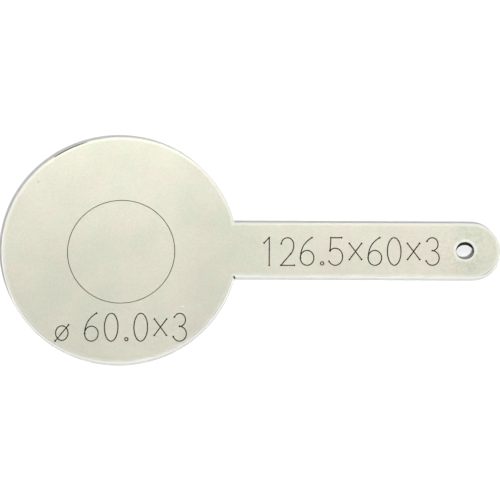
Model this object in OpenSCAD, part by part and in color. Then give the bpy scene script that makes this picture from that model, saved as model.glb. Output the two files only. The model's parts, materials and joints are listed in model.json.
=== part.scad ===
// Pipe blind plate, a flat stainless plate that closes off a small flanged pipe joint
// The disc sits between the two flange faces, inside the ring of bolts
// The straight tab stands out between the bolts, and its hole takes a tie wire or a hook
// The origin is the disc's centre on the under face, with +Z up and +X along the tab

/* [Disc] */
// Diameter of the disc
disc_d = 60; // [48:0.5:90]
// Thickness of the whole plate
plate_t = 3; // [2:0.1:8]
// Width of the 45 degree break along both outer edges
edge_break = 0.4; // [0.1:0.05:0.8]

/* [Tab] */
// Width of the tab
tab_w = 14.5; // [10:0.5:24]
// Distance from the disc's centre to the rounded tip of the tab
tab_reach = 96.5; // [70:0.5:150]
// Diameter of the nick that the cutter left in one root corner of the tab
nick_d = 0.5; // [0.2:0.1:1]

/* [Hanging hole] */
// Diameter of the hole
hang_hole_d = 4.5; // [3:0.1:6]
// Distance from the hole's centre to the tip of the tab
hole_from_tip = 9; // [6:0.1:14]
// Width of the 45 degree break at both mouths of the hole
hole_break = 0.15; // [0.05:0.05:0.4]

/* [Scribed ring] */
// Diameter of the ring, which is the outside diameter of the pipe
ring_d = 27.2; // [16:0.1:40]
// Offset of the ring from the disc's centre, along the tab
ring_off_x = 0.4; // [-2:0.1:2]
// Offset of the ring from the disc's centre, across the tab
ring_off_y = -0.7; // [-2:0.1:2]
// Width of the scribed line at the face
line_w = 0.3; // [0.2:0.05:0.6]
// Depth of the scribed line
line_depth = 0.12; // [0.05:0.01:0.3]

/* [Hidden] */
$fn = 96;
// How far a cutting shape stands past the face that it cuts
cut_over = 0.5;
disc_r = disc_d / 2;
tab_half = tab_w / 2;
hole_r = hang_hole_d / 2;
// Centre of the tab's full-round end, and of the hanging hole
end_x = tab_reach - tab_half;
hole_x = tab_reach - hole_from_tip;
// Where a side of the tab runs into the disc's rim
root_x = sqrt(disc_r * disc_r - tab_half * tab_half);

// Half section of the plate, from its middle out to an edge at reach, with both corners broken
module half_section(reach) {
    polygon([
        [0, 0],
        [reach - edge_break, 0],
        [reach, edge_break],
        [reach, plate_t - edge_break],
        [reach - edge_break, plate_t],
        [0, plate_t]
    ]);
}

// Round blank that covers the pipe's bore
module disc_blank() {
    rotate_extrude() half_section(disc_r);
}

// Straight run of the tab, from the disc's centre to the start of the round end
module tab_run() {
    rotate([90, 0, 90])
        linear_extrude(height = end_x)
            union() {
                half_section(tab_half);
                mirror([1, 0]) half_section(tab_half);
            }
}

// Half-round end of the tab
module tab_end() {
    translate([end_x, 0, 0])
        rotate([0, 0, -90])
            rotate_extrude(angle = 180) half_section(tab_half);
}

// Straight drill with a cone at each mouth of the hole
module hanging_hole() {
    mouth_r = hole_r + hole_break + cut_over;
    mouth_h = hole_break + cut_over;
    translate([hole_x, 0, 0]) {
        translate([0, 0, -cut_over])
            cylinder(r = hole_r, h = plate_t + 2 * cut_over);
        translate([0, 0, plate_t - hole_break])
            cylinder(r1 = hole_r, r2 = mouth_r, h = mouth_h);
        translate([0, 0, -cut_over])
            cylinder(r1 = mouth_r, r2 = hole_r, h = mouth_h);
    }
}

// V-shaped line round the place where the pipe's wall comes
module scribed_ring() {
    ring_r = ring_d / 2;
    open_half = line_w / 2 * (line_depth + cut_over) / line_depth;
    translate([ring_off_x, ring_off_y, plate_t])
        rotate_extrude()
            polygon([
                [ring_r, -line_depth],
                [ring_r + open_half, cut_over],
                [ring_r - open_half, cut_over]
            ]);
}

// Nick where two cuts meet, in the root corner on the -Y side
module root_nick() {
    translate([root_x, -tab_half, -cut_over])
        cylinder(d = nick_d, h = plate_t + 2 * cut_over);
}

module blind_plate() {
    color([0.86, 0.86, 0.79])
        difference() {
            union() {
                disc_blank();
                tab_run();
                tab_end();
            }
            hanging_hole();
            scribed_ring();
            root_nick();
        }
}

blind_plate();
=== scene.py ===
"""Pipe blind plate, dressed for its render.

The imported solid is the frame, in metres: the origin is the disc's centre on the under face, +Z is up and +X
runs along the tab. The plate is built again here as one finer mesh of the same form, with the scribed ring
and plain sizes cut into its face, and each of its surfaces gets the finish of worked stainless sheet.
"""

import json
import logging
import math
from dataclasses import dataclass
from enum import Enum, IntEnum
from typing import Optional, Sequence, Union

import bmesh
import bpy
from mathutils import Euler, Matrix, Vector

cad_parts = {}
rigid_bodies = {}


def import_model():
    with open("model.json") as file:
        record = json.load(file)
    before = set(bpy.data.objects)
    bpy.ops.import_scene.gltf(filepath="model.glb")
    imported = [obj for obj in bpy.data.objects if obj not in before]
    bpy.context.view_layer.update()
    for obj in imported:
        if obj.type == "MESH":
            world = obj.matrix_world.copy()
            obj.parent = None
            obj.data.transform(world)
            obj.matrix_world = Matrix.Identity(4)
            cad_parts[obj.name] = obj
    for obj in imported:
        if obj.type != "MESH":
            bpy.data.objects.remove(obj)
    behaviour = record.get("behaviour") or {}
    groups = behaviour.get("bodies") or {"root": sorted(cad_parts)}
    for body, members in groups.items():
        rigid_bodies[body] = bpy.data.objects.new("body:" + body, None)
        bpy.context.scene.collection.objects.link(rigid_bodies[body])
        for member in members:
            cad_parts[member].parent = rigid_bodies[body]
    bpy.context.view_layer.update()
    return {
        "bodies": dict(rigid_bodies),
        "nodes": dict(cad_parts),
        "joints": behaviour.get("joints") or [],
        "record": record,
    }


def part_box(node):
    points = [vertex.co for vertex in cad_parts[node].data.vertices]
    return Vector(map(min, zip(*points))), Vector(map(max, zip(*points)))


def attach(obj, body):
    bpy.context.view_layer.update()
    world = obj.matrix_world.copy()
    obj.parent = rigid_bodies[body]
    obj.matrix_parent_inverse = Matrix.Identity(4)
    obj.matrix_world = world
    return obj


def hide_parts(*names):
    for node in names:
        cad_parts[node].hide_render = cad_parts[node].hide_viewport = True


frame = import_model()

log = logging.getLogger("blind_plate")

NODE = "blind_plate"
BODY = "root"
MM = 0.001
# Range that nearly all of a soft noise lies in
NOISE_BAND = (0.3, 0.7)
# Places of the colour sockets on Blender's Mix node, which share their names with others
MIX_SHARE, MIX_FIRST, MIX_SECOND, MIX_RESULT = 0, 6, 7, 2

Point = tuple[float, float]
Span = tuple[float, float]
Colour = tuple[float, float, float]
Input = Union[float, Colour, bpy.types.NodeSocket]


class Surface(IntEnum):
    """The plate's surfaces, in the order of its material slots."""

    FACE = 0
    EDGE = 1
    HOLE = 2
    LINE = 3
    PIT = 4
    SCRATCH = 5


class Cap(Enum):
    """How a swept line ends."""

    CLOSED = "closed"
    OPEN = "open"


@dataclass(frozen=True)
class PlateSizes:
    """Sizes of the plate, in millimetres.

    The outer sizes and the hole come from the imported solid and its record. The others repeat its source.
    """

    disc_r: float
    thick: float
    reach: float
    hole_x: float
    hole_r: float
    tab_half: float = 7.25
    edge_break: float = 0.4
    hole_break: float = 0.15
    nick_r: float = 0.25
    ring_r: float = 13.6
    ring_x: float = 0.4
    ring_y: float = -0.7
    line_w: float = 0.3
    line_depth: float = 0.12

    @classmethod
    def from_frame(cls, loaded: dict) -> "PlateSizes":
        """Reads the sizes that the frame holds.


        Returns:
            The plate's sizes.
        """
        low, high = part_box(NODE)
        mounts = {mount["name"]: mount for mount in loaded["record"]["mounts"]}
        hole = mounts["hang_hole"]
        return cls(
            disc_r=high.y / MM,
            thick=(high.z - low.z) / MM,
            reach=high.x / MM,
            hole_x=hole["pos_m"][0] / MM,
            hole_r=hole["dims"]["r_mm"],
        )

    @property
    def end_x(self) -> float:
        """Centre of the tab's full-round end, along the tab."""
        return self.reach - self.tab_half

    @property
    def root_x(self) -> float:
        """Place where a side of the tab runs into the disc's rim."""
        return math.sqrt(self.disc_r ** 2 - self.tab_half ** 2)


def arc(centre: Point, radii: Point, start: float, end: float, steps: int) -> list[Point]:
    """Points along an arc of an ellipse, from one angle in degrees to another, both ends included."""
    angles = [math.radians(start + (end - start) * step / steps) for step in range(steps + 1)]
    return [(centre[0] + radii[0] * math.cos(a), centre[1] + radii[1] * math.sin(a)) for a in angles]


def curve(start: Point, pull: Point, end: Point, steps: int) -> list[Point]:
    """Points along a curve that leaves start towards pull and reaches end from it.

    Args:
        start: first point.
        pull: point that the curve bends towards.
        end: last point.
        steps: how many chords the curve is made of.

    Returns:
        The points, from start to end.
    """
    points = []
    for step in range(steps + 1):
        t = step / steps
        weights = ((1 - t) ** 2, 2 * t * (1 - t), t * t)
        points.append(tuple(
            sum(weight * point[axis] for weight, point in zip(weights, (start, pull, end)))
            for axis in (0, 1)
        ))
    return points


@dataclass(frozen=True)
class Outline:
    """The plate's outline, seen from above: the disc, the tab's two sides and its round end."""

    sizes: PlateSizes
    disc_steps: int = 300
    end_steps: int = 72

    def loop(self, inset: float) -> list[Point]:
        """The outline, drawn in by one distance all round.

        Args:
            inset: how far it is drawn in.

        Returns:
            The points, anticlockwise, always the same number of them.
        """
        radius = self.sizes.disc_r - inset
        half = self.sizes.tab_half - inset
        root_angle = math.degrees(math.asin(half / radius))
        tip = arc((self.sizes.end_x, 0), (half, half), -90, 90, self.end_steps)
        disc = arc((0, 0), (radius, radius), root_angle, 360 - root_angle, self.disc_steps)
        return tip + disc


class Cutter:
    """Closed cutting shapes, gathered in one mesh."""

    MITRE_LIMIT = 0.5
    PIT_STEPS = 14

    def __init__(self, sizes: PlateSizes, over: float = 0.02) -> None:
        """Starts with no shape.

        Args:
            sizes: the plate's sizes.
            over: how far a shape stands past the face that it cuts.
        """
        self.sizes = sizes
        self.over = over
        self.bm = bmesh.new()

    def face(self, corners: Sequence[bmesh.types.BMVert], surface: Surface) -> None:
        """Adds one face, whose cut takes that surface's finish."""
        self.bm.faces.new(corners).material_index = surface

    def half_open(self, width: float, depth: float) -> float:
        """Half width of a pointed cutter at its top, where it stands past the face."""
        return width / 2 * (depth + self.over) / depth

    def turned(self, centre: Point, profile: Sequence[tuple[float, float]], surface: Surface,
               steps: int) -> None:
        """Adds a solid of revolution about an upright axis.

        Args:
            centre: where the axis stands.
            profile: (radius, height) pairs from the bottom up. A radius of 0 closes the shape to a point.
            surface: the finish of the cut.
            steps: how many sides it has.
        """
        rings = []
        for radius, z in profile:
            if radius == 0:
                rings.append([self.bm.verts.new((*centre, z))])
                continue
            points = arc(centre, (radius, radius), 0, 360, steps)[:-1]
            rings.append([self.bm.verts.new((*point, z)) for point in points])
        for lower, upper in zip(rings, rings[1:]):
            for a in range(steps):
                b = (a + 1) % steps
                if len(lower) == 1:
                    self.face((lower[0], upper[b], upper[a]), surface)
                elif len(upper) == 1:
                    self.face((lower[a], lower[b], upper[0]), surface)
                else:
                    self.face((lower[a], lower[b], upper[b], upper[a]), surface)
        for ring, order in ((rings[0], -1), (rings[-1], 1)):
            if len(ring) > 1:
                self.face(ring[::order], surface)

    def groove(self, points: Sequence[Point], cap: Cap, surface: Surface, width: float,
               depth: float) -> None:
        """Adds a V-shaped cutter that follows a line on the top face.

        Args:
            points: the line. A closed one doesn't repeat its first point.
            cap: whether the line closes on itself.
            surface: the finish of the cut.
            width: the groove's width at the face.
            depth: its depth.
        """
        top = self.sizes.thick
        half = self.half_open(width, depth)
        count = len(points)
        sections = []
        for i, point in enumerate(points):
            before = Vector(points[i - 1] if i or cap is Cap.CLOSED else point)
            after = Vector(points[(i + 1) % count] if i < count - 1 or cap is Cap.CLOSED else point)
            here = Vector(point)
            legs = [leg.normalized() for leg in (here - before, after - here) if leg.length > 0]
            along = sum(legs, Vector((0, 0))).normalized()
            side = Vector((-along.y, along.x)) * half / max(along.dot(legs[0]), self.MITRE_LIMIT)
            sections.append([self.bm.verts.new(corner) for corner in (
                (here.x + side.x, here.y + side.y, top + self.over),
                (here.x, here.y, top - depth),
                (here.x - side.x, here.y - side.y, top + self.over),
            )])
        runs = list(zip(sections, sections[1:]))
        if cap is Cap.CLOSED:
            runs.append((sections[-1], sections[0]))
        corners = len(sections[0])
        for first, second in runs:
            for a in range(corners):
                b = (a + 1) % corners
                self.face((first[a], first[b], second[b], second[a]), surface)
        if cap is Cap.OPEN:
            self.face(sections[0][::-1], surface)
            self.face(sections[-1], surface)

    def pit(self, point: Point, width: float, depth: float) -> None:
        """Adds the small cone that the marking tool leaves where a line starts or ends.

        Args:
            point: its place on the top face.
            width: its width at the face.
            depth: its depth.
        """
        top = self.sizes.thick
        profile = ((0, top - depth), (self.half_open(width, depth), top + self.over))
        self.turned(point, profile, Surface.PIT, self.PIT_STEPS)

    def mesh(self, name: str) -> bpy.types.Mesh:
        """Ends the gathering, with every face turned outwards.

        Args:
            name: the mesh's name.

        Returns:
            The gathered shapes as one mesh.
        """
        bmesh.ops.recalc_face_normals(self.bm, faces=self.bm.faces)
        mesh = bpy.data.meshes.new(name)
        self.bm.to_mesh(mesh)
        self.bm.free()
        return mesh


@dataclass(frozen=True)
class Line:
    """One stroke of a character, in shares of the character's height."""

    points: tuple[Point, ...]
    cap: Cap = Cap.OPEN

    @classmethod
    def through(cls, *points: Point) -> "Line":
        """An open line through these points."""
        return cls(tuple(points))

    @classmethod
    def oval(cls, centre: Point, radii: Point, steps: int = 40) -> "Line":
        """A closed oval."""
        return cls(tuple(arc(centre, radii, 90, 450, steps)[:-1]), Cap.CLOSED)


class Alphabet:
    """Single-line characters for plain sizes, half as wide as they are high."""

    MIDDLE = 0.25

    def __init__(self) -> None:
        """Draws each character that the sizes need."""
        middle = self.MIDDLE
        self.lines: dict[str, tuple[Line, ...]] = {
            "0": (Line.oval((middle, 0.5), (0.235, 0.5), 48),),
            "1": (Line.through((0.1, 0.81), (0.28, 1.0)), Line.through((0.28, 1.0), (0.28, 0.0))),
            "2": (
                Line(tuple(
                    arc((0.24, 0.74), (0.22, 0.26), 172, -8, 20)
                    + curve((0.455, 0.66), (0.43, 0.5), (0.35, 0.41), 5)
                )),
                Line.through((0.35, 0.41), (0.01, 0.0)),
                Line.through((0.01, 0.0), (0.48, 0.0)),
            ),
            "3": (
                Line(tuple(arc((0.23, 0.765), (0.2, 0.235), 155, -90, 22))),
                Line(tuple(arc((0.23, 0.265), (0.235, 0.265), 90, -155, 24))),
            ),
            "5": (
                Line.through((0.44, 1.0), (0.07, 1.0)),
                Line.through((0.07, 1.0), (0.04, 0.52)),
                Line(tuple(arc((0.22, 0.31), (0.255, 0.31), 135, -148, 26))),
            ),
            "6": (
                Line.oval((middle, 0.27), (0.235, 0.27)),
                Line(tuple(curve((0.42, 1.0), (0.03, 0.78), (0.017, 0.27), 14))),
            ),
            "×": (Line.through((0.04, 0.21), (0.46, 0.79)), Line.through((0.04, 0.79), (0.46, 0.21))),
            "ø": (
                Line.oval((middle, 0.29), (0.215, 0.26)),
                Line.through((0.02, 0.0), (0.48, 0.58)),
            ),
            ".": (Line.oval((0.1, 0.07), (0.055, 0.06), 18),),
            " ": (),
        }

    def advance(self, character: str, pitch: float) -> float:
        """Room that a character takes along its row: a point or a space takes half a place."""
        return pitch / 2 if character in ". " else pitch


@dataclass(frozen=True)
class SizeRow:
    """One row of plain sizes on the face, in millimetres."""

    words: str
    start: Point
    height: float
    pitch: float
    tilt_deg: float
    pit_wide: float = 1.25
    pit_deep: float = 1.3

    def cut(self, cutter: Cutter, alphabet: Alphabet, width: float, depth: float) -> None:
        """Adds a groove for each line of each character, and a pit at each line's end.

        Args:
            cutter: takes the grooves.
            alphabet: draws the characters.
            width: the grooves' width.
            depth: their depth.
        """
        turn = Matrix.Rotation(math.radians(self.tilt_deg), 2)
        along = 0.0
        for character in self.words:
            for line in alphabet.lines[character]:
                placed = []
                for x, y in line.points:
                    spot = turn @ Vector((along + x * self.height, y * self.height))
                    placed.append((self.start[0] + spot.x, self.start[1] + spot.y))
                cutter.groove(placed, line.cap, Surface.LINE, width, depth)
                if line.cap is Cap.OPEN:
                    for end in (placed[0], placed[-1]):
                        cutter.pit(end, width * self.pit_wide, depth * self.pit_deep)
            along += alphabet.advance(character, self.pitch)


@dataclass(frozen=True)
class Grain:
    """Soft noise: how fine it is, how many finer layers it has and how strong those are."""

    scale: float
    detail: float = 2.0
    roughness: float = 0.5


class NodeBench:
    """Short calls that lay out the nodes of one material or world."""

    def __init__(self, owner: Union[bpy.types.Material, bpy.types.World]) -> None:
        """Clears the owner's nodes.

        Args:
            owner: the material or world.
        """
        owner.use_nodes = True
        self.tree = owner.node_tree
        self.tree.nodes.clear()

    def node(self, kind: str, **settings: object) -> bpy.types.Node:
        """Adds a node.

        Args:
            kind: Blender's name for it.
            **settings: values of its own, such as its operation.

        Returns:
            The node.
        """
        made = self.tree.nodes.new(kind)
        for name, value in settings.items():
            setattr(made, name, value)
        return made

    def feed(self, socket: bpy.types.NodeSocket, value: Input) -> None:
        """Links a socket, or sets it on its own node.

        Args:
            socket: the input.
            value: a socket to link, a number, or a colour.
        """
        if isinstance(value, bpy.types.NodeSocket):
            self.tree.links.new(value, socket)
        elif isinstance(value, (tuple, list)) and len(value) == 3 and len(socket.default_value) == 4:
            socket.default_value = (*value, 1.0)
        else:
            socket.default_value = value

    def math(self, operation: str, a: Input, b: Input = 0.0, clamp: bool = False) -> bpy.types.NodeSocket:
        """One step of arithmetic.

        Args:
            operation: Blender's name for it.
            a: first number.
            b: second number.
            clamp: keeps the result between 0 and 1.

        Returns:
            The result.
        """
        made = self.node("ShaderNodeMath", operation=operation, use_clamp=clamp)
        self.feed(made.inputs[0], a)
        self.feed(made.inputs[1], b)
        return made.outputs[0]

    def ramp(self, value: Input, low: float, high: float, out_low: float = 0.0,
             out_high: float = 1.0) -> bpy.types.NodeSocket:
        """Turns one range of a number into another, smoothly and within bounds.

        Args:
            value: the number.
            low: start of its range.
            high: end of its range.
            out_low: result at the start.
            out_high: result at the end.

        Returns:
            The result.
        """
        made = self.node("ShaderNodeMapRange", interpolation_type="SMOOTHSTEP")
        for socket, number in zip(made.inputs, (value, low, high, out_low, out_high)):
            self.feed(socket, number)
        return made.outputs["Result"]

    def past(self, value: Input, start: float, span: Span, share: float = 1.0) -> bpy.types.NodeSocket:
        """Goes from 0 to the share along a span that is counted from its start."""
        return self.ramp(value, start + span[0], start + span[1], 0.0, share)

    def between(self, noise: bpy.types.NodeSocket, low: float, high: float) -> bpy.types.NodeSocket:
        """Spreads soft noise from low to high."""
        return self.ramp(noise, *NOISE_BAND, low, high)

    def weigh(self, share: float, a: Input, b: Input) -> bpy.types.NodeSocket:
        """Adds this share of one number to the rest of another."""
        return self.math("ADD", self.math("MULTIPLY", a, share), self.math("MULTIPLY", b, 1 - share))

    def millimetres(self, stretch: tuple[float, float, float] = (1, 1, 1)) -> bpy.types.NodeSocket:
        """The place on the object in millimetres.

        Args:
            stretch: what each axis is multiplied by.

        Returns:
            The place.
        """
        place = self.node("ShaderNodeTexCoord").outputs["Object"]
        scaled = self.node("ShaderNodeVectorMath", operation="MULTIPLY")
        self.feed(scaled.inputs[0], place)
        self.feed(scaled.inputs[1], tuple(axis / MM for axis in stretch))
        return scaled.outputs[0]

    def axes(self, place: bpy.types.NodeSocket) -> bpy.types.Node:
        """Separates a place or a direction into its axes.

        Args:
            place: the place or direction.

        Returns:
            The node, with one output for each axis.
        """
        made = self.node("ShaderNodeSeparateXYZ")
        self.feed(made.inputs[0], place)
        return made

    def noise(self, vector: bpy.types.NodeSocket, grain: Grain) -> bpy.types.NodeSocket:
        """Soft noise, about 0.5 on average.

        Args:
            vector: where it is read.
            grain: how fine it is.

        Returns:
            The noise.
        """
        made = self.node("ShaderNodeTexNoise", noise_dimensions="3D")
        self.feed(made.inputs["Vector"], vector)
        made.inputs["Scale"].default_value = grain.scale
        made.inputs["Detail"].default_value = grain.detail
        made.inputs["Roughness"].default_value = grain.roughness
        return made.outputs["Fac"]

    def mix(self, share: Input, a: Input, b: Input, blend: str = "MIX") -> bpy.types.NodeSocket:
        """Mixes two colours.

        Args:
            share: how much of the second.
            a: first colour.
            b: second colour.
            blend: Blender's name for the way of mixing.

        Returns:
            The mixed colour.
        """
        made = self.node("ShaderNodeMix", data_type="RGBA", blend_type=blend)
        self.feed(made.inputs[MIX_SHARE], share)
        self.feed(made.inputs[MIX_FIRST], a)
        self.feed(made.inputs[MIX_SECOND], b)
        return made.outputs[MIX_RESULT]

    def bump(self, height: bpy.types.NodeSocket, strength: float,
             distance_mm: float) -> bpy.types.NodeSocket:
        """Turns a height into a surface normal.

        Args:
            height: the height, from 0 to 1.
            strength: how much of it shows.
            distance_mm: what a height of 1 stands for.

        Returns:
            The normal.
        """
        made = self.node("ShaderNodeBump")
        made.inputs["Strength"].default_value = strength
        made.inputs["Distance"].default_value = distance_mm * MM
        self.feed(made.inputs["Height"], height)
        return made.outputs["Normal"]

    def seen(self) -> bpy.types.NodeSocket:
        """Tells the rays that show a surface from those that only carry its light.

        Returns:
            1 for rays that show it directly, in metal or through glass, and 0 for the others.
        """
        path = self.node("ShaderNodeLightPath")
        direct = self.math("MAXIMUM", path.outputs["Is Camera Ray"], path.outputs["Is Glossy Ray"])
        return self.math("MAXIMUM", direct, path.outputs["Is Transmission Ray"])

    def metal(self, colour: Input, roughness: Input, metallic: float, specular: float = 0.5,
              normal: Optional[bpy.types.NodeSocket] = None) -> None:
        """Ends the material in one shader.

        Args:
            colour: base colour.
            roughness: roughness.
            metallic: 1 for plain metal, 0 for a marked or filled line.
            specular: how much a marked or filled line shines.
            normal: the bumped normal, where there is one.
        """
        shader = self.node("ShaderNodeBsdfPrincipled")
        self.feed(shader.inputs["Base Color"], colour)
        self.feed(shader.inputs["Roughness"], roughness)
        shader.inputs["Metallic"].default_value = metallic
        shader.inputs["Specular IOR Level"].default_value = specular
        if normal is not None:
            self.feed(shader.inputs["Normal"], normal)
        out = self.node("ShaderNodeOutputMaterial")
        self.feed(out.inputs["Surface"], shader.outputs[0])


@dataclass(frozen=True)
class SheetFace:
    """Dull mill finish of the sheet: warm grey, faintly clouded, with fine grain along the tab.

    The tab is a little warmer where hands hold it, greener and scuffed round the hole, and a band across its
    root and its end round the hole are darkened with painted shade. Every outer edge and the hole's mouth are
    worn bright, in a band that is also a painted highlight. Lengths are in millimetres.
    """

    sizes: PlateSizes
    warm: Colour = (0.745, 0.708, 0.604)
    green: Colour = (0.700, 0.722, 0.596)
    # Worn bright metal at the edges, also a painted highlight
    burnished_highlight: Colour = (0.92, 0.915, 0.83)
    hue_grain: Grain = Grain(0.16, 4.0, 0.62)
    held_past_root: Span = (4.0, 22.0)
    held_share: float = 0.35
    # Share of the tab's end, which turns greener and carries painted shade
    end_past_hole: Span = (-5.0, 1.0)
    end_share: float = 0.6
    cloud_grain: Grain = Grain(0.09)
    cloud_share: float = 0.05
    mottle_grain: Grain = Grain(1.9, 3.0, 0.65)
    mottle_share: float = 0.07
    scuff_grain: Grain = Grain(1.1, 4.0, 0.75)
    scuff_band: Span = (0.35, 0.65)
    scuff_change: Span = (-0.09, 0.06)
    scuff_from_hole: Span = (10.0, 3.0)
    # Painted shade: darkens a band across the root and the tab's end
    shade_rise_past_root: Span = (-17.0, -8.0)
    shade_fall_past_root: Span = (15.0, 5.0)
    root_shade: float = 0.05
    end_shade: float = 0.1
    wander_grain: Grain = Grain(0.5)
    wander: Span = (0.8, 1.2)
    # Width and strength of the bright edge band: partly wear, partly a painted highlight
    rim_band: float = 0.8
    rim_share: float = 0.65
    mouth_band: float = 0.95
    mouth_share: float = 1.0
    long_grain: Grain = Grain(2.4, 4.0, 0.7)
    long_stretch: tuple[float, float, float] = (0.12, 2.2, 1.0)
    fine_grain: Grain = Grain(3.2, 4.0, 0.7)
    fine_share: float = 0.6
    roughness: float = 0.46
    grain_rough: float = 0.05
    rubbed_smooth: float = 0.08
    bump_strength: float = 0.35
    bump_mm: float = 0.012

    def rim_distance(self, bench: NodeBench) -> bpy.types.NodeSocket:
        """Distance in from the plate's outline, in millimetres.

        Args:
            bench: the material's nodes.

        Returns:
            The distance.
        """
        place = bench.millimetres((1, 1, 0))
        disc = bench.node("ShaderNodeVectorMath", operation="LENGTH")
        bench.feed(disc.inputs[0], place)
        in_disc = bench.math("SUBTRACT", self.sizes.disc_r, disc.outputs["Value"])
        split = bench.axes(place)
        past_end = bench.math("MAXIMUM", bench.math("SUBTRACT", split.outputs[0], self.sizes.end_x), 0.0)
        to_spine = bench.math("SQRT", bench.math(
            "ADD", bench.math("MULTIPLY", past_end, past_end),
            bench.math("MULTIPLY", split.outputs[1], split.outputs[1])))
        in_tab = bench.math("SUBTRACT", self.sizes.tab_half, to_spine)
        on_tab = bench.math("GREATER_THAN", split.outputs[0], 0.0)
        return bench.math("MAXIMUM", in_disc, bench.math("MULTIPLY", in_tab, on_tab))

    def hole_distance(self, bench: NodeBench) -> bpy.types.NodeSocket:
        """Distance from the hole's centre, in millimetres.

        Args:
            bench: the material's nodes.

        Returns:
            The distance.
        """
        apart = bench.node("ShaderNodeVectorMath", operation="DISTANCE")
        bench.feed(apart.inputs[0], bench.millimetres((1, 1, 0)))
        bench.feed(apart.inputs[1], (self.sizes.hole_x, 0.0, 0.0))
        return apart.outputs["Value"]

    def tint(self, bench: NodeBench, along: bpy.types.NodeSocket,
             end_tone_and_shade: bpy.types.NodeSocket) -> bpy.types.NodeSocket:
        """Hue of the sheet, which wanders between greenish and warm.

        Args:
            bench: the material's nodes.
            along: the place along the tab.
            end_tone_and_shade: share of the tab's end, which turns greener there and carries painted shade.

        Returns:
            The colour.
        """
        held = bench.past(along, self.sizes.root_x, self.held_past_root, self.held_share)
        hue = bench.between(bench.noise(bench.millimetres(), self.hue_grain), 0.0, 1.0)
        hue = bench.math("SUBTRACT", bench.math("ADD", hue, held), end_tone_and_shade, clamp=True)
        return bench.mix(hue, self.green, self.warm)

    def level(self, bench: NodeBench, along: bpy.types.NodeSocket, end_tone_and_shade: bpy.types.NodeSocket,
              from_hole: bpy.types.NodeSocket) -> bpy.types.NodeSocket:
        """Lightness of the sheet, about 1: clouded, mottled and scuffed round the hole, with painted shade
        that darkens a band across the root and the tab's end.

        Args:
            bench: the material's nodes.
            along: the place along the tab.
            end_tone_and_shade: share of the tab's end, which turns greener there and carries painted shade.
            from_hole: distance from the hole's centre.

        Returns:
            The lightness.
        """
        place = bench.millimetres()
        cloud = bench.between(bench.noise(place, self.cloud_grain), 1 - self.cloud_share / 2,
                              1 + self.cloud_share / 2)
        mottle = bench.between(bench.noise(place, self.mottle_grain), 1 - self.mottle_share / 2,
                               1 + self.mottle_share / 2)
        scuff = bench.ramp(bench.noise(place, self.scuff_grain), *self.scuff_band, *self.scuff_change)
        scuffed = bench.math("MULTIPLY", bench.ramp(from_hole, *self.scuff_from_hole), scuff)
        # Painted shade: darker in a band across the root and towards the tab's end
        root_shade_band = bench.math("MULTIPLY", bench.past(along, self.sizes.root_x, self.shade_rise_past_root),
                             bench.past(along, self.sizes.root_x, self.shade_fall_past_root))
        painted_shade = bench.math("ADD", bench.math("MULTIPLY", root_shade_band, self.root_shade),
                            bench.math("MULTIPLY", end_tone_and_shade, self.end_shade))
        even = bench.math("ADD", bench.math("MULTIPLY", cloud, mottle), scuffed)
        return bench.math("SUBTRACT", even, painted_shade)

    def rubbed_and_highlight(self, bench: NodeBench, from_hole: bpy.types.NodeSocket) -> bpy.types.NodeSocket:
        """Share of the bright band inside the outline's broken edge and round the hole's mouth: partly worn
        bright metal, partly a painted highlight.

        Args:
            bench: the material's nodes.
            from_hole: distance from the hole's centre.

        Returns:
            The share.
        """
        wander = bench.between(bench.noise(bench.millimetres(), self.wander_grain), *self.wander)
        past_break = bench.math("SUBTRACT", self.rim_distance(bench), self.sizes.edge_break)
        at_rim = bench.ramp(bench.math("DIVIDE", past_break, wander), self.rim_band, 0.0, 0.0,
                            self.rim_share)
        past_mouth = bench.math("SUBTRACT", from_hole, self.sizes.hole_r + self.sizes.hole_break)
        at_mouth = bench.ramp(bench.math("DIVIDE", past_mouth, wander), self.mouth_band, 0.0, 0.0,
                              self.mouth_share)
        return bench.math("MAXIMUM", at_rim, at_mouth)

    def material(self) -> bpy.types.Material:
        """Builds the finish.

        Returns:
            The material.
        """
        made = bpy.data.materials.new("plate_sheet_face")
        bench = NodeBench(made)
        place = bench.millimetres()
        along = bench.axes(place).outputs["X"]
        end_tone_and_shade = bench.past(along, self.sizes.hole_x, self.end_past_hole, self.end_share)
        from_hole = self.hole_distance(bench)
        level = self.level(bench, along, end_tone_and_shade, from_hole)
        grey = bench.node("ShaderNodeCombineColor")
        for socket in grey.inputs:
            bench.feed(socket, level)
        colour = bench.mix(1.0, self.tint(bench, along, end_tone_and_shade), grey.outputs[0], "MULTIPLY")
        # Bright band at the edges and the hole's mouth: worn metal and a painted highlight
        rubbed_and_highlight = self.rubbed_and_highlight(bench, from_hole)
        colour = bench.mix(rubbed_and_highlight, colour, self.burnished_highlight)
        grain = bench.noise(bench.millimetres(self.long_stretch), self.long_grain)
        rough = bench.math("ADD", bench.between(grain, -self.grain_rough, self.grain_rough), self.roughness)
        rough = bench.math("SUBTRACT", rough, bench.math("MULTIPLY", rubbed_and_highlight, self.rubbed_smooth))
        height = bench.weigh(self.fine_share, bench.noise(place, self.fine_grain), grain)
        bench.metal(colour, rough, 1.0, normal=bench.bump(height, self.bump_strength, self.bump_mm))
        return made


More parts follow.
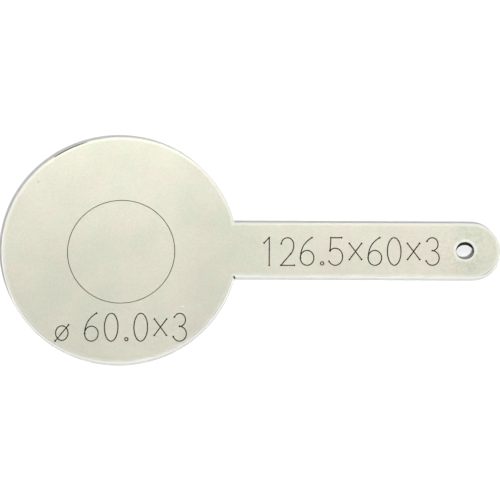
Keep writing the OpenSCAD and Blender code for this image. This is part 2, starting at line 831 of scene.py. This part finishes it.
@dataclass(frozen=True)
class CutEdge:
    """Cut edge: bright where it is broken, dull on the wall below with painted shade at its foot, and with
    the upright marks of the cut.

    A painted shadow darkens a short stretch high on the far side of the disc's rim.
    """

    sizes: PlateSizes
    bright: Colour = (0.79, 0.79, 0.73)
    light: Colour = (0.61, 0.61, 0.58)
    dark: Colour = (0.51, 0.51, 0.48)
    # Painted shade at the wall's foot, darker than the wall above
    low: Colour = (0.50, 0.50, 0.47)
    # Painted shadow: the dark colour of a short stretch of the far rim
    painted_shadow: Colour = (0.05, 0.043, 0.034)
    painted_shadow_deg: Span = (101.0, 127.0)
    painted_shadow_fade_deg: Span = (14.0, 4.0)
    painted_shadow_foot: float = 0.4
    painted_shadow_band: Span = (0.65, 1.35)
    upright_grain: Grain = Grain(2.6, 4.0, 0.7)
    upright_stretch: tuple[float, float, float] = (1.0, 1.0, 0.12)
    upright_share: float = 0.6
    cloud_grain: Grain = Grain(0.5)
    light_band: Span = (0.35, 0.62)
    foot_shade_top_mm: float = 1.0
    bright_fade_mm: float = 0.2
    roughness: float = 0.34
    rough_change: Span = (-0.05, 0.07)
    bump_strength: float = 0.5
    bump_mm: float = 0.02

    def painted_shadow_share(self, bench: NodeBench, place: bpy.types.Node,
                 patchy: bpy.types.NodeSocket) -> bpy.types.NodeSocket:
        """Share of the painted shadow, high on the far side of the disc's rim.

        Args:
            bench: the material's nodes.
            place: the node that separates the place on the plate.
            patchy: noise that breaks up the painted shadow's outline.

        Returns:
            The share.
        """
        turn = bench.math("ARCTAN2", place.outputs["Y"], place.outputs["X"])
        first, last = (math.radians(angle) for angle in self.painted_shadow_deg)
        fade_in, fade_out = (math.radians(angle) for angle in self.painted_shadow_fade_deg)
        along = bench.math("MULTIPLY", bench.ramp(turn, first, first + fade_in),
                           bench.ramp(turn, last, last - fade_out))
        foot = self.sizes.thick * self.painted_shadow_foot
        high = bench.ramp(place.outputs["Z"], foot, self.sizes.thick - self.sizes.edge_break)
        share = bench.math("MULTIPLY", along, high)
        return bench.ramp(bench.math("ADD", share, patchy), *self.painted_shadow_band)

    def material(self) -> bpy.types.Material:
        """Builds the finish.

        Returns:
            The material.
        """
        made = bpy.data.materials.new("plate_cut_edge")
        bench = NodeBench(made)
        upright = bench.noise(bench.millimetres(self.upright_stretch), self.upright_grain)
        cloud = bench.noise(bench.millimetres(), self.cloud_grain)
        share = bench.ramp(bench.weigh(self.upright_share, upright, cloud), *self.light_band)
        colour = bench.mix(share, self.dark, self.light)
        split = bench.axes(bench.millimetres())
        height = split.outputs["Z"]
        # Painted shade: the wall darkens from its middle down to its foot
        colour = bench.mix(bench.ramp(height, self.sizes.thick / 2, self.foot_shade_top_mm), colour, self.low)
        broken = self.sizes.thick - self.sizes.edge_break
        colour = bench.mix(bench.ramp(height, broken - self.bright_fade_mm, broken), colour, self.bright)
        # Painted shadow, high on the far side of the rim
        colour = bench.mix(self.painted_shadow_share(bench, split, upright), colour, self.painted_shadow)
        rough = bench.between(cloud, *(self.roughness + change for change in self.rough_change))
        bench.metal(colour, rough, 1.0, normal=bench.bump(upright, self.bump_strength, self.bump_mm))
        return made


@dataclass(frozen=True)
class HoleWall:
    """Wall of the hole, near black and matt."""

    # The wall's near black, with lighter black patches over it
    deep_colour: Colour = (0.006, 0.005, 0.004)
    patch_black: Colour = (0.035, 0.034, 0.031)
    upright_grain: Grain = Grain(3.0, 4.0, 0.7)
    upright_stretch: tuple[float, float, float] = (1.0, 1.0, 0.15)
    patch_black_band: Span = (0.35, 0.7)
    roughness: float = 0.88
    rough_change: Span = (-0.06, 0.1)
    specular: float = 0.08
    bump_strength: float = 0.6
    bump_mm: float = 0.02

    def material(self) -> bpy.types.Material:
        """Builds the finish.

        Returns:
            The material.
        """
        made = bpy.data.materials.new("plate_hole_wall")
        bench = NodeBench(made)
        upright = bench.noise(bench.millimetres(self.upright_stretch), self.upright_grain)
        colour = bench.mix(bench.ramp(upright, *self.patch_black_band), self.deep_colour, self.patch_black)
        rough = bench.between(upright, *(self.roughness + change for change in self.rough_change))
        bench.metal(colour, rough, 0.0, self.specular,
                    bench.bump(upright, self.bump_strength, self.bump_mm))
        return made


@dataclass(frozen=True)
class MarkedLine:
    """A line, pit or scratch in the face: patchy below, and of another colour at its lips."""

    name: str
    thick: float
    dark: Colour
    light: Colour
    lip: Colour
    lip_mm: float = 0.045
    lip_fade: Span = (1.2, 0.8)
    patch_grain: Grain = Grain(0.9, 3.0, 0.6)
    light_band: Span = (0.32, 0.68)
    grit_grain: Grain = Grain(9.0)
    roughness: float = 0.7
    rough_change: Span = (-0.08, 0.08)
    specular: float = 0.15
    bump_strength: float = 0.5
    bump_mm: float = 0.01

    def material(self) -> bpy.types.Material:
        """Builds the finish.

        Returns:
            The material.
        """
        made = bpy.data.materials.new(self.name)
        bench = NodeBench(made)
        patchy = bench.noise(bench.millimetres(), self.patch_grain)
        deep_colour = bench.mix(bench.ramp(patchy, *self.light_band), self.dark, self.light)
        rough = bench.between(patchy, *(self.roughness + change for change in self.rough_change))
        grit = bench.noise(bench.millimetres(), self.grit_grain)
        height = bench.axes(bench.millimetres()).outputs["Z"]
        lip_foot, lip_head = (self.thick - fade * self.lip_mm for fade in self.lip_fade)
        colour = bench.mix(bench.ramp(height, lip_foot, lip_head), deep_colour, self.lip)
        bench.metal(colour, rough, 0.0, self.specular,
                    bench.bump(grit, self.bump_strength, self.bump_mm))
        return made


@dataclass
class BlindPlate:
    """The plate: one mesh, with the hole, the scribed ring, the nick and the plain sizes cut in."""

    sizes: PlateSizes
    tab_row: SizeRow = SizeRow("126.5×60×3", start=(35.9, -4.17), height=7.3, pitch=4.9, tilt_deg=0.27)
    disc_row: SizeRow = SizeRow("ø 60.0×3", start=(-16.0, -24.35), height=7.3, pitch=4.97, tilt_deg=0.28)
    row_bold: float = 1.36
    scratch: tuple[Point, Point] = ((15.5, -15.15), (16.8, -15.1))
    scratch_w: float = 0.22
    scratch_depth: float = 0.04
    fleck: Point = (-21.0, 17.8)
    fleck_w: float = 0.25
    fleck_depth: float = 0.08
    break_steps: int = 4
    break_crown: float = 0.25
    opening_over: float = 0.5
    hole_steps: int = 96
    nick_steps: int = 24
    ring_steps: int = 288
    sharp_deg: float = 28.0
    sloped_z: float = 0.3
    flat_z: float = 0.9999

    def break_profile(self) -> list[tuple[float, float]]:
        """Section of the filed edge, from the under face round to the top face.

        Returns:
            (inset, height) pairs.
        """
        size = self.sizes.edge_break
        lower = []
        for step in range(self.break_steps + 1):
            t = step / self.break_steps
            flat = (size * (1 - t), size * t)
            turn = (size * (1 - math.sin(t * math.pi / 2)), size * (1 - math.cos(t * math.pi / 2)))
            lower.append(tuple(f + self.break_crown * (r - f) for f, r in zip(flat, turn)))
        upper = [(inset, self.sizes.thick - z) for inset, z in reversed(lower)]
        return lower + upper

    def blank(self) -> bpy.types.Mesh:
        """Builds the plate before anything is cut in it.

        Returns:
            The mesh, in millimetres.
        """
        bm = bmesh.new()
        outline = Outline(self.sizes)
        rings = [[bm.verts.new((x, y, z)) for x, y in outline.loop(inset)]
                 for inset, z in self.break_profile()]
        count = len(rings[0])
        for lower, upper in zip(rings, rings[1:]):
            for a in range(count):
                b = (a + 1) % count
                bm.faces.new((lower[a], lower[b], upper[b], upper[a])).material_index = Surface.EDGE
        bm.faces.new(rings[0][::-1]).material_index = Surface.FACE
        bm.faces.new(rings[-1]).material_index = Surface.FACE
        mesh = bpy.data.meshes.new("plate_blank")
        bm.to_mesh(mesh)
        bm.free()
        return mesh

    def openings(self) -> bpy.types.Mesh:
        """Builds the cutters of the hanging hole and the root nick.

        Returns:
            The mesh, in millimetres.
        """
        sizes = self.sizes
        cutter = Cutter(sizes, self.opening_over)
        mouth = sizes.hole_r + sizes.hole_break
        beyond = mouth + cutter.over
        cutter.turned((sizes.hole_x, 0), (
            (beyond, -cutter.over), (mouth, 0), (sizes.hole_r, sizes.hole_break),
            (sizes.hole_r, sizes.thick - sizes.hole_break), (mouth, sizes.thick),
            (beyond, sizes.thick + cutter.over),
        ), Surface.HOLE, self.hole_steps)
        cutter.turned((sizes.root_x, -sizes.tab_half), (
            (sizes.nick_r, -cutter.over), (sizes.nick_r, sizes.thick + cutter.over),
        ), Surface.HOLE, self.nick_steps)
        return cutter.mesh("openings")

    def marks(self) -> bpy.types.Mesh:
        """Builds the cutters of the scribed ring, the plain sizes and the wear.

        Returns:
            The mesh, in millimetres.
        """
        sizes = self.sizes
        cutter = Cutter(sizes)
        ring = arc((sizes.ring_x, sizes.ring_y), (sizes.ring_r, sizes.ring_r), 0, 360, self.ring_steps)
        cutter.groove(ring[:-1], Cap.CLOSED, Surface.LINE, sizes.line_w, sizes.line_depth)
        alphabet = Alphabet()
        for row in (self.tab_row, self.disc_row):
            row.cut(cutter, alphabet, sizes.line_w * self.row_bold, sizes.line_depth * self.row_bold)
        cutter.groove(self.scratch, Cap.OPEN, Surface.SCRATCH, self.scratch_w, self.scratch_depth)
        cutter.pit(self.fleck, self.fleck_w, self.fleck_depth)
        return cutter.mesh("marks")

    def cut(self, piece: bpy.types.Object, mesh: bpy.types.Mesh) -> None:
        """Takes a cutter's shape out of the piece.

        Args:
            piece: the object that is cut.
            mesh: the cutter.
        """
        tool = bpy.data.objects.new("cutter", mesh)
        bpy.context.collection.objects.link(tool)
        difference = piece.modifiers.new("cut", "BOOLEAN")
        difference.operation = "DIFFERENCE"
        difference.solver = "EXACT"
        difference.material_mode = "INDEX"
        difference.use_self = True
        difference.object = tool
        graph = bpy.context.evaluated_depsgraph_get()
        result = bpy.data.meshes.new_from_object(piece.evaluated_get(graph))
        piece.modifiers.clear()
        piece.data = result
        bpy.data.objects.remove(tool)

    def shade(self, mesh: bpy.types.Mesh) -> None:
        """Shades the mesh smooth, with hard edges where it turns and round its flat faces.

        The hole's broken mouths get the finish of the other broken edges.

        Args:
            mesh: the finished mesh.
        """
        bm = bmesh.new()
        bm.from_mesh(mesh)
        sharp = math.radians(self.sharp_deg)
        for face in bm.faces:
            face.smooth = True
            if face.material_index == Surface.HOLE and abs(face.normal.z) > self.sloped_z:
                face.material_index = Surface.EDGE
        for edge in bm.edges:
            flats = [abs(face.normal.z) > self.flat_z for face in edge.link_faces]
            turns = len(edge.link_faces) == 2 and edge.calc_face_angle(0.0) > sharp
            edge.smooth = not (turns or any(flats) and not all(flats))
        bm.to_mesh(mesh)
        bm.free()

    def build(self) -> bpy.types.Object:
        """Builds the plate in place of the CAD node.

        Returns:
            The finished object.
        """
        piece = bpy.data.objects.new("plate_body", self.blank())
        bpy.context.collection.objects.link(piece)
        thick = self.sizes.thick
        finishes = (
            SheetFace(self.sizes),
            CutEdge(self.sizes),
            HoleWall(),
            MarkedLine("plate_marked_line", thick, dark=(0.006, 0.0045, 0.003),
                       light=(0.04, 0.031, 0.02), lip=(0.62, 0.60, 0.52)),
            MarkedLine("plate_line_pit", thick, dark=(0.005, 0.004, 0.003),
                       light=(0.018, 0.014, 0.01), lip=(0.05, 0.042, 0.032)),
            MarkedLine("plate_bright_scratch", thick, dark=(0.68, 0.67, 0.60),
                       light=(0.76, 0.75, 0.67), lip=(0.76, 0.75, 0.67)),
        )
        for finish in finishes:
            piece.data.materials.append(finish.material())
        self.cut(piece, self.openings())
        self.cut(piece, self.marks())
        piece.data.transform(Matrix.Scale(MM, 4))
        self.shade(piece.data)
        piece.data.name = "plate_body"
        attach(piece, BODY)
        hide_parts(NODE)
        return piece


@dataclass(frozen=True)
class PhotoCamera:
    """The camera of the photograph: nearly overhead, a little towards the near side of the plate."""

    place_mm: tuple[float, float, float] = (48.1, -303.2, 1003.0)
    turn_deg: tuple[float, float, float] = (-16.859, -0.825, -0.262)
    focal_px: float = 4126.0
    image_px: float = 500.0
    sensor_mm: float = 36.0
    nearest_m: float = 0.01

    def build(self) -> bpy.types.Object:
        """Adds the camera and makes it the scene's.

        Returns:
            The camera.
        """
        data = bpy.data.cameras.new("photo_camera")
        data.sensor_width = self.sensor_mm
        data.lens = self.focal_px * self.sensor_mm / self.image_px
        data.clip_start = self.nearest_m
        camera = bpy.data.objects.new("photo_camera", data)
        bpy.context.collection.objects.link(camera)
        turn = Euler([math.radians(angle) for angle in self.turn_deg], "XYZ").to_matrix()
        camera.matrix_world = Matrix.Translation(Vector(self.place_mm) * MM) @ turn.transposed().to_4x4()
        bpy.context.scene.camera = camera
        return camera


@dataclass(frozen=True)
class Floor:
    """Plain white floor under the plate, wide enough for every view."""

    half_m: float = 3.0
    gap_mm: float = 0.02
    albedo: float = 0.93
    clear_mm: tuple[float, float] = (150.0, 320.0)

    def build(self) -> bpy.types.Object:
        """Adds the floor.

        Returns:
            The floor.
        """
        bm = bmesh.new()
        low = -self.gap_mm * MM
        sides = ((-1, -1), (1, -1), (1, 1), (-1, 1))
        bm.faces.new([bm.verts.new((x * self.half_m, y * self.half_m, low)) for x, y in sides])
        mesh = bpy.data.meshes.new("floor")
        bm.to_mesh(mesh)
        bm.free()
        floor = bpy.data.objects.new("floor", mesh)
        bpy.context.collection.objects.link(floor)
        mesh.materials.append(self.material())
        return floor

    def material(self) -> bpy.types.Material:
        """Builds a matt white, which is seen as plain white well away from the plate.

        Returns:
            The material.
        """
        made = bpy.data.materials.new("floor_white")
        bench = NodeBench(made)
        matt = bench.node("ShaderNodeBsdfDiffuse")
        bench.feed(matt.inputs["Color"], (self.albedo, self.albedo, self.albedo))
        plain = bench.node("ShaderNodeEmission")
        bench.feed(plain.inputs["Color"], (1.0, 1.0, 1.0))
        apart = bench.node("ShaderNodeVectorMath", operation="LENGTH")
        bench.feed(apart.inputs[0], bench.millimetres())
        clear = bench.ramp(apart.outputs["Value"], *self.clear_mm)
        blend = bench.node("ShaderNodeMixShader")
        bench.feed(blend.inputs[0], bench.math("MULTIPLY", clear, bench.seen()))
        bench.feed(blend.inputs[1], matt.outputs[0])
        bench.feed(blend.inputs[2], plain.outputs[0])
        out = bench.node("ShaderNodeOutputMaterial")
        bench.feed(out.inputs["Surface"], blend.outputs[0])
        return made


@dataclass(frozen=True)
class SoftBox:
    """One studio lamp, which faces the plate or a place beside it."""

    name: str
    azimuth_deg: float
    elevation_deg: float
    distance_m: float
    width_m: float
    height_m: float
    watts: float
    aim_mm: tuple[float, float, float] = (30.0, 0.0, 0.0)
    spread_deg: float = 180.0

    def build(self) -> bpy.types.Object:
        """Adds the lamp.

        Returns:
            The lamp.
        """
        data = bpy.data.lights.new(self.name, "AREA")
        data.shape = "RECTANGLE"
        data.size = self.width_m
        data.size_y = self.height_m
        data.spread = math.radians(self.spread_deg)
        data.energy = self.watts
        lamp = bpy.data.objects.new(self.name, data)
        bpy.context.collection.objects.link(lamp)
        azimuth, elevation = math.radians(self.azimuth_deg), math.radians(self.elevation_deg)
        outwards = Vector((math.cos(elevation) * math.cos(azimuth), math.cos(elevation) * math.sin(azimuth),
                           math.sin(elevation)))
        lamp.location = Vector(self.aim_mm) * MM + outwards * self.distance_m
        lamp.rotation_euler = outwards.to_track_quat("Z", "Y").to_euler()
        return lamp


@dataclass(frozen=True)
class Studio:
    """Three lamps in a room with white walls, dim corners above them and a pale ceiling.

    The key lamp leaves a thin shadow behind the plate, the back strip lights the face more towards its far
    side, and the low front one lights the near edges. The walls are brightest to the left and right, where
    they brighten the broken edges that face them.
    """

    key: SoftBox = SoftBox("key_lamp", azimuth_deg=-67.0, elevation_deg=61.0, distance_m=1.0,
                           width_m=0.06, height_m=0.06, watts=8.2)
    back: SoftBox = SoftBox("back_strip", azimuth_deg=90.0, elevation_deg=73.0, distance_m=0.15,
                            width_m=0.35, height_m=0.04, watts=0.026, aim_mm=(-8.0, 48.0, 0.0),
                            spread_deg=90.0)
    front: SoftBox = SoftBox("front_fill", azimuth_deg=-95.0, elevation_deg=20.0, distance_m=0.6,
                             width_m=1.0, height_m=0.25, watts=0.5)
    walls: float = 1.0
    corners: float = 0.3
    ceiling: float = 0.525
    wall_top: float = 0.38
    side_gain: float = 1.8
    side_edge: tuple[float, float] = (0.6, 1.0)
    ceiling_edge: tuple[float, float] = (0.6, 0.9)

    def build(self) -> list[bpy.types.Object]:
        """Adds the lamps and the room.

        Returns:
            The lamps.
        """
        world = bpy.data.worlds.new("pale_room")
        bpy.context.scene.world = world
        bench = NodeBench(world)
        towards = bench.axes(bench.node("ShaderNodeTexCoord").outputs["Generated"])
        height = towards.outputs["Z"]
        wall = bench.ramp(height, 0.0, self.wall_top, self.walls, self.corners)
        sideways = bench.math("ABSOLUTE", towards.outputs["X"])
        wall = bench.math("MULTIPLY", wall, bench.ramp(sideways, *self.side_edge, 1.0, self.side_gain))
        above = bench.ramp(height, *self.ceiling_edge, self.corners, self.ceiling)
        background = bench.node("ShaderNodeBackground")
        bench.feed(background.inputs["Color"], (1.0, 1.0, 1.0))
        bench.feed(background.inputs["Strength"], bench.math("MAXIMUM", wall, above))
        out = bench.node("ShaderNodeOutputWorld")
        bench.feed(out.inputs["Surface"], background.outputs[0])
        return [self.key.build(), self.back.build(), self.front.build()]


def main() -> None:
    """Builds the scene: the camera, the plate, then the floor and the light."""
    logging.basicConfig(level=logging.INFO, format="%(message)s")
    bpy.context.scene.view_settings.view_transform = "Standard"
    PhotoCamera().build()
    plate = BlindPlate(PlateSizes.from_frame(frame)).build()
    log.info("%s: %d faces", plate.name, len(plate.data.polygons))
    for piece in (Floor().build(), *Studio().build()):
        log.info("%s in place", piece.name)


if __name__ == "__main__":
    main()
